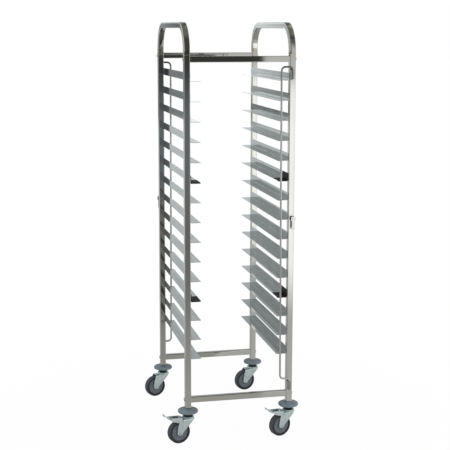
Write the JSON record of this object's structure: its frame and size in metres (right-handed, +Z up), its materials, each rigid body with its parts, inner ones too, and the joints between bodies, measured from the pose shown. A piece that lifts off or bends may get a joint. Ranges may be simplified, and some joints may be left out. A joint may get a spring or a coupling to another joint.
{
  "type": "sheet pan rack",
  "caption": "Tall open stainless trolley that carries sheet pans on pairs of angle runners, with swinging retainer bars and swivel casters.",
  "frame": {"origin": "on the floor, midway between the four uprights", "axes": "+X to the right-hand side, +Y to the rear, +Z up"},
  "size_m": [0.59, 0.727, 1.735],
  "materials": {
    "stainless_tube": "satin",
    "stainless_sheet": "bright",
    "stainless_rod": "satin",
    "bolt_steel": "machined",
    "zinc_steel": "zinc plated",
    "black_plastic": "matt",
    "bumper_plastic": "matt",
    "hub_plastic": "matt",
    "tyre_rubber": "matt"
  },
  "bodies": {
    "rack_frame": {"front_left_upright": "stainless_tube", "front_right_upright": "stainless_tube", "rear_left_upright": "stainless_tube", "rear_right_upright": "stainless_tube", "left_handle": "stainless_tube", "right_handle": "stainless_tube", "top_front_crossbar": "stainless_tube", "top_rear_crossbar": "stainless_tube", "bottom_front_crossbar": "stainless_tube", "bottom_rear_crossbar": "stainless_tube", "crossbar_bolts": "bolt_steel", "crossbar_plugs": "bolt_steel", "level_01_runners": "stainless_sheet", "level_02_runners": "stainless_sheet", "level_03_runners": "stainless_sheet", "level_04_runners": "stainless_sheet", "level_05_runners": "stainless_sheet", "level_06_runners": "stainless_sheet", "level_07_runners": "stainless_sheet", "level_08_runners": "stainless_sheet", "level_09_runners": "stainless_sheet", "level_10_runners": "stainless_sheet", "level_11_runners": "stainless_sheet", "level_12_runners": "stainless_sheet", "level_13_runners": "stainless_sheet", "level_14_runners": "stainless_sheet", "level_15_runners": "stainless_sheet", "runner_end_clips": "black_plastic", "retainer_sleeves": "stainless_sheet", "catch_brackets": "stainless_sheet", "caster_stems": "bolt_steel", "caster_dust_caps": "black_plastic", "front_left_bumper": "bumper_plastic", "front_right_bumper": "bumper_plastic", "rear_left_bumper": "bumper_plastic", "rear_right_bumper": "bumper_plastic"},
    "front_retainer": {"front_retainer_bar": "stainless_rod"},
    "front_catch": {"front_catch_lever": "stainless_sheet"},
    "rear_retainer": {"rear_retainer_bar": "stainless_rod"},
    "rear_catch": {"rear_catch_lever": "stainless_sheet"},
    "front_left_swivel": {"front_left_fork": "zinc_steel", "front_left_axle": "bolt_steel"},
    "front_left_wheel": {"front_left_wheel_hub": "hub_plastic", "front_left_tyre": "tyre_rubber"},
    "front_right_swivel": {"front_right_fork": "zinc_steel", "front_right_axle": "bolt_steel"},
    "front_right_wheel": {"front_right_wheel_hub": "hub_plastic", "front_right_tyre": "tyre_rubber"},
    "rear_left_swivel": {"rear_left_fork": "zinc_steel", "rear_left_axle": "bolt_steel"},
    "rear_left_wheel": {"rear_left_wheel_hub": "hub_plastic", "rear_left_tyre": "tyre_rubber"},
    "rear_right_swivel": {"rear_right_fork": "zinc_steel", "rear_right_axle": "bolt_steel"},
    "rear_right_wheel": {"rear_right_wheel_hub": "hub_plastic", "rear_right_tyre": "tyre_rubber"},
    "front_left_brake": {"front_left_brake_pedal": "zinc_steel"},
    "front_right_brake": {"front_right_brake_pedal": "zinc_steel"}
  },
  "joints": [
    {"name": "front_retainer_hinge", "type": "hinge", "parent": "rack_frame", "child": "front_retainer", "pos_m": [0.214, -0.339, 0.9], "axis": [0, 0, 1], "range_deg": [0, 180]},
    {"name": "rear_retainer_hinge", "type": "hinge", "parent": "rack_frame", "child": "rear_retainer", "pos_m": [-0.214, 0.339, 0.9], "axis": [0, 0, 1], "range_deg": [0, 180]},
    {"name": "front_catch_pivot", "type": "hinge", "parent": "rack_frame", "child": "front_catch", "pos_m": [0.223, -0.3455, 0.936], "axis": [0, 1, 0], "range_deg": [0, 90]},
    {"name": "rear_catch_pivot", "type": "hinge", "parent": "rack_frame", "child": "rear_catch", "pos_m": [-0.223, 0.3455, 0.936], "axis": [0, -1, 0], "range_deg": [0, 90]},
    {"name": "front_left_swivel_turn", "type": "hinge", "parent": "rack_frame", "child": "front_left_swivel", "pos_m": [-0.2175, -0.3175, 0.108], "axis": [0, 0, 1], "continuous": true},
    {"name": "front_left_wheel_spin", "type": "hinge", "parent": "front_left_swivel", "child": "front_left_wheel", "pos_m": [-0.25903, -0.32863, 0.0475], "axis": [-0.2588, 0.9659, 0], "continuous": true},
    {"name": "front_left_brake_press", "type": "hinge", "parent": "front_left_swivel", "child": "front_left_brake", "pos_m": [-0.24648, -0.32526, 0.097], "axis": [0.2588, -0.9659, 0], "range_deg": [0, 8]},
    {"name": "front_right_swivel_turn", "type": "hinge", "parent": "rack_frame", "child": "front_right_swivel", "pos_m": [0.2175, -0.3175, 0.108], "axis": [0, 0, 1], "continuous": true},
    {"name": "front_right_wheel_spin", "type": "hinge", "parent": "front_right_swivel", "child": "front_right_wheel", "pos_m": [0.17684, -0.3315, 0.0475], "axis": [-0.3256, 0.9455, 0], "continuous": true},
    {"name": "front_right_brake_press", "type": "hinge", "parent": "front_right_swivel", "child": "front_right_brake", "pos_m": [0.18913, -0.32727, 0.097], "axis": [0.3256, -0.9455, 0], "range_deg": [0, 8]},
    {"name": "rear_left_swivel_turn", "type": "hinge", "parent": "rack_frame", "child": "rear_left_swivel", "pos_m": [-0.2175, 0.3175, 0.108], "axis": [0, 0, 1], "continuous": true},
    {"name": "rear_left_wheel_spin", "type": "hinge", "parent": "rear_left_swivel", "child": "rear_left_wheel", "pos_m": [-0.25862, 0.30493, 0.0475], "axis": [-0.2924, 0.9563, 0], "continuous": true},
    {"name": "rear_right_swivel_turn", "type": "hinge", "parent": "rack_frame", "child": "rear_right_swivel", "pos_m": [0.2175, 0.3175, 0.108], "axis": [0, 0, 1], "continuous": true},
    {"name": "rear_right_wheel_spin", "type": "hinge", "parent": "rear_right_swivel", "child": "rear_right_wheel", "pos_m": [0.1756, 0.30783, 0.0475], "axis": [-0.225, 0.9744, 0], "continuous": true}
  ]
}
